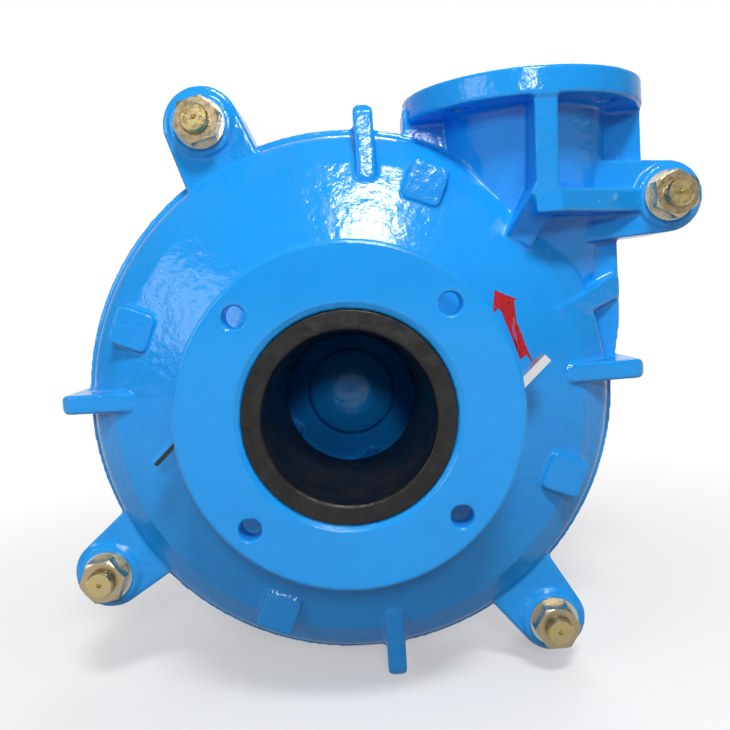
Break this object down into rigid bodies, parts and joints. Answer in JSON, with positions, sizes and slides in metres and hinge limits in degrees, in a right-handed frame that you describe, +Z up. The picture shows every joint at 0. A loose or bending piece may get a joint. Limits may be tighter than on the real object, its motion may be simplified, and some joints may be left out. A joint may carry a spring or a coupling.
{
  "type": "slurry pump",
  "caption": "Horizontal slurry pump with a split round casing, flanged axial intake, upright side discharge, rubber liners, closed impeller and bearing cartridge on a cast pedestal.",
  "frame": {"origin": "centre of the intake flange face, on the shaft axis", "axes": "-Y out of the intake, +Y towards the drive end, +Z up out of the discharge, +X to the right seen from the intake"},
  "size_m": [0.662, 0.96, 0.619],
  "materials": {
    "blue_enamel": "gloss enamel over rough iron casting",
    "impeller_blue": "gloss enamel over casting",
    "black_rubber": "moulded, semi-matt",
    "yellow_zinc": "yellow zinc plating",
    "bolt_zinc": "yellow zinc plating, turned end",
    "bright_zinc": "bright zinc plating",
    "turned_steel": "turned and ground",
    "race_steel": "ground and polished",
    "plain_iron": "machined",
    "lantern_brass": "machined",
    "braided_packing": "greased braid"
  },
  "bodies": {
    "casing": {"cover_plate": "blue_enamel", "frame_plate": "blue_enamel", "cover_plate_liner": "black_rubber", "frame_plate_liner": "black_rubber", "frame_liner_insert": "black_rubber", "throat_bush": "black_rubber", "intake_joint_ring": "black_rubber", "discharge_joint_ring": "black_rubber", "throat_cotters": "blue_enamel", "cover_plate_bolts": "bolt_zinc", "cover_plate_nuts": "yellow_zinc", "cover_plate_washers": "bright_zinc", "stuffing_box": "blue_enamel", "stuffing_box_screws": "bright_zinc", "gland_water_pipe": "lantern_brass", "neck_ring": "turned_steel", "lantern_ring": "lantern_brass", "packing_rings": "braided_packing", "gland_studs": "bright_zinc", "pedestal": "blue_enamel", "frame_plate_studs": "bright_zinc", "frame_plate_nuts": "bright_zinc", "clamp_bolts": "bright_zinc", "clamp_washers": "bright_zinc"},
    "gland": {"gland": "blue_enamel", "gland_nuts": "bright_zinc"},
    "cartridge": {"bearing_housing": "blue_enamel", "wet_end_cover": "blue_enamel", "drive_end_cover": "blue_enamel", "end_cover_screws": "bright_zinc", "wet_outer_race": "race_steel", "drive_outer_race": "race_steel", "grease_nipples": "bright_zinc"},
    "rotor": {"shaft": "turned_steel", "shaft_key": "turned_steel", "shaft_sleeve": "turned_steel", "impeller": "impeller_blue", "impeller_seal_ring": "black_rubber", "wet_inner_race": "race_steel", "drive_inner_race": "race_steel", "wet_labyrinth": "plain_iron", "drive_labyrinth": "plain_iron", "bearing_lock_nut": "plain_iron"},
    "wet_roller_set": {"wet_rollers": "race_steel"},
    "drive_roller_set": {"drive_rollers": "race_steel"},
    "adjuster": {"adjusting_screw": "bright_zinc", "adjusting_nuts": "bright_zinc"}
  },
  "joints": [
    {"name": "rotor_spin", "type": "hinge", "parent": "cartridge", "child": "rotor", "pos_m": [0, 0.49, 0], "axis": [0, -1, 0], "continuous": true},
    {"name": "wet_rollers_spin", "type": "hinge", "parent": "cartridge", "child": "wet_roller_set", "pos_m": [0, 0.49, 0], "axis": [0, -1, 0], "continuous": true},
    {"name": "drive_rollers_spin", "type": "hinge", "parent": "cartridge", "child": "drive_roller_set", "pos_m": [0, 0.73, 0], "axis": [0, -1, 0], "continuous": true},
    {"name": "cartridge_slide", "type": "slide", "parent": "casing", "child": "cartridge", "axis": [0, 1, 0], "range_m": [-0.003, 0.004]},
    {"name": "adjuster_turn", "type": "hinge", "parent": "casing", "child": "adjuster", "pos_m": [0, 0.6, -0.136], "axis": [0, 1, 0], "range_deg": [-450, 600]},
    {"name": "gland_slide", "type": "slide", "parent": "casing", "child": "gland", "axis": [0, 1, 0], "range_m": [0, 0.018]}
  ],
  "couplings": [
    {"joint": "wet_rollers_spin", "follows": "rotor_spin", "ratio": 0.4403},
    {"joint": "drive_rollers_spin", "follows": "rotor_spin", "ratio": 0.4403},
    {"joint": "adjuster_turn", "follows": "cartridge_slide", "rad_per_m": 2618}
  ]
}
